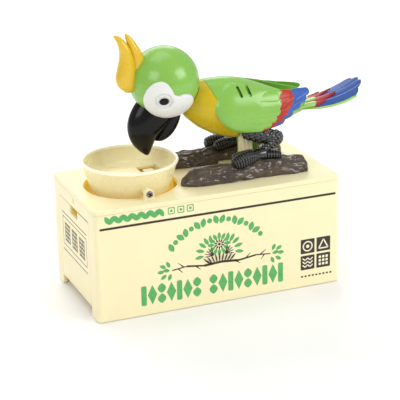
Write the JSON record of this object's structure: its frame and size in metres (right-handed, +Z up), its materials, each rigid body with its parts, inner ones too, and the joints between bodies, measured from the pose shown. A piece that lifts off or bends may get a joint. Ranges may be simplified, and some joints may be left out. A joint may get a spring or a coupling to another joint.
{
  "type": "mechanical coin bank",
  "caption": "Box shaped coin bank with a pecking parrot on a branch: a motor and gears tip the bird to a rocking bowl that drops the coin into the box.",
  "frame": {"origin": "centre of the box's underside, on the plane it stands on", "axes": "+X along the box from the bowl to the tail, +Y away from the printed long side, +Z up; the bird faces -X"},
  "size_m": [0.206, 0.086, 0.1728],
  "materials": {
    "cream_plastic": "satin moulded",
    "green_plastic": "gloss painted and moulded",
    "yellow_plastic": "satin moulded",
    "bark_plastic": "glossy bark relief",
    "black_plastic": "gloss moulded",
    "white_plastic": "gloss moulded",
    "natural_plastic": "unpainted moulded",
    "gear_plastic": "acetal, unpainted",
    "red_gear_plastic": "acetal, unpainted",
    "screw_steel": "darkened zinc plate",
    "plated_steel": "bright plated",
    "contact_brass": "bare sheet",
    "cell_jacket": "printed sleeve, no marks"
  },
  "bodies": {
    "base": {"box_shell": "cream_plastic", "top_cover": "cream_plastic", "base_plate": "cream_plastic", "partition": "cream_plastic", "battery_tray": "cream_plastic", "batteries": "cell_jacket", "battery_contacts": "contact_brass", "base_screws": "screw_steel", "leaf_switch": "contact_brass", "bowl_spring": "plated_steel", "motor": "plated_steel", "gear_frame": "natural_plastic", "gear_plate": "natural_plastic", "gear_screws": "screw_steel", "axles": "plated_steel", "hip_bracket": "cream_plastic", "hip_pin": "plated_steel", "bracket_screws": "screw_steel", "near_branch": "bark_plastic", "far_branch": "bark_plastic", "branch_screws": "screw_steel", "near_foot": "black_plastic", "far_foot": "black_plastic", "near_shank": "black_plastic", "far_shank": "black_plastic", "near_thigh": "black_plastic", "far_thigh": "black_plastic", "leg_pins": "plated_steel"},
    "bird": {"chest_shell": "yellow_plastic", "back_shell": "green_plastic", "body_lever": "green_plastic", "drive_sector": "green_plastic", "sector_screws": "screw_steel", "body_screws": "screw_steel", "near_wing": "green_plastic", "far_wing": "green_plastic", "tail": "green_plastic", "neck": "green_plastic", "near_head": "green_plastic", "far_head": "green_plastic", "crest": "yellow_plastic", "near_eye_patch": "white_plastic", "far_eye_patch": "white_plastic", "eyes": "black_plastic", "upper_beak": "black_plastic", "lower_beak": "black_plastic"},
    "bowl": {"bowl": "cream_plastic", "pivot_screws": "screw_steel"},
    "coin_trip": {"trip_lever": "cream_plastic"},
    "coin_door": {"coin_door": "cream_plastic"},
    "battery_door": {"battery_door": "cream_plastic"},
    "drive_gear": {"drive_gear": "gear_plastic"},
    "second_gear": {"second_gear": "red_gear_plastic"},
    "first_gear": {"first_gear": "gear_plastic"},
    "motor_pinion": {"motor_pinion": "gear_plastic"}
  },
  "joints": [
    {"name": "body_tilt", "type": "hinge", "parent": "base", "child": "bird", "pos_m": [0.033, 0, 0.101], "axis": [0, 1, 0], "range_deg": [-8, 22]},
    {"name": "drive_gear_turn", "type": "hinge", "parent": "base", "child": "drive_gear", "pos_m": [0.033, 0, 0.0454], "axis": [0, 1, 0], "range_deg": [-106, 39]},
    {"name": "second_gear_turn", "type": "hinge", "parent": "base", "child": "second_gear", "pos_m": [0.04599, 0, 0.0379], "axis": [0, 1, 0], "range_deg": [-155, 425]},
    {"name": "first_gear_turn", "type": "hinge", "parent": "base", "child": "first_gear", "pos_m": [0.05958, 0, 0.0355], "axis": [0, 1, 0], "range_deg": [-1525, 560]},
    {"name": "motor_turn", "type": "hinge", "parent": "base", "child": "motor_pinion", "pos_m": [0.06583, 0, 0.04633], "axis": [0, 1, 0], "range_deg": [-2250, 6100]},
    {"name": "bowl_tilt", "type": "hinge", "parent": "base", "child": "bowl", "pos_m": [-0.045, 0, 0.078], "axis": [0, 1, 0], "range_deg": [0, 15], "stiffness_Nm_per_rad": 0.06, "springref_deg": -5.73, "deforming": ["bowl_spring"]},
    {"name": "trip_press", "type": "hinge", "parent": "base", "child": "coin_trip", "pos_m": [-0.008, 0, 0.056], "axis": [0, -1, 0], "range_deg": [0, 4], "stiffness_Nm_per_rad": 0.03, "springref_deg": -5.73},
    {"name": "coin_door_swing", "type": "hinge", "parent": "base", "child": "coin_door", "pos_m": [-0.0825, 0, 0.0085], "axis": [0, -1, 0], "range_deg": [0, 85]},
    {"name": "battery_door_slide", "type": "slide", "parent": "base", "child": "battery_door", "axis": [-1, 0, 0], "range_m": [0, 0.03]}
  ],
  "couplings": [
    {"joint": "drive_gear_turn", "follows": "body_tilt", "ratio": -4.7917},
    {"joint": "second_gear_turn", "follows": "body_tilt", "ratio": 19.167},
    {"joint": "first_gear_turn", "follows": "body_tilt", "ratio": -69},
    {"joint": "motor_turn", "follows": "body_tilt", "ratio": 276}
  ]
}
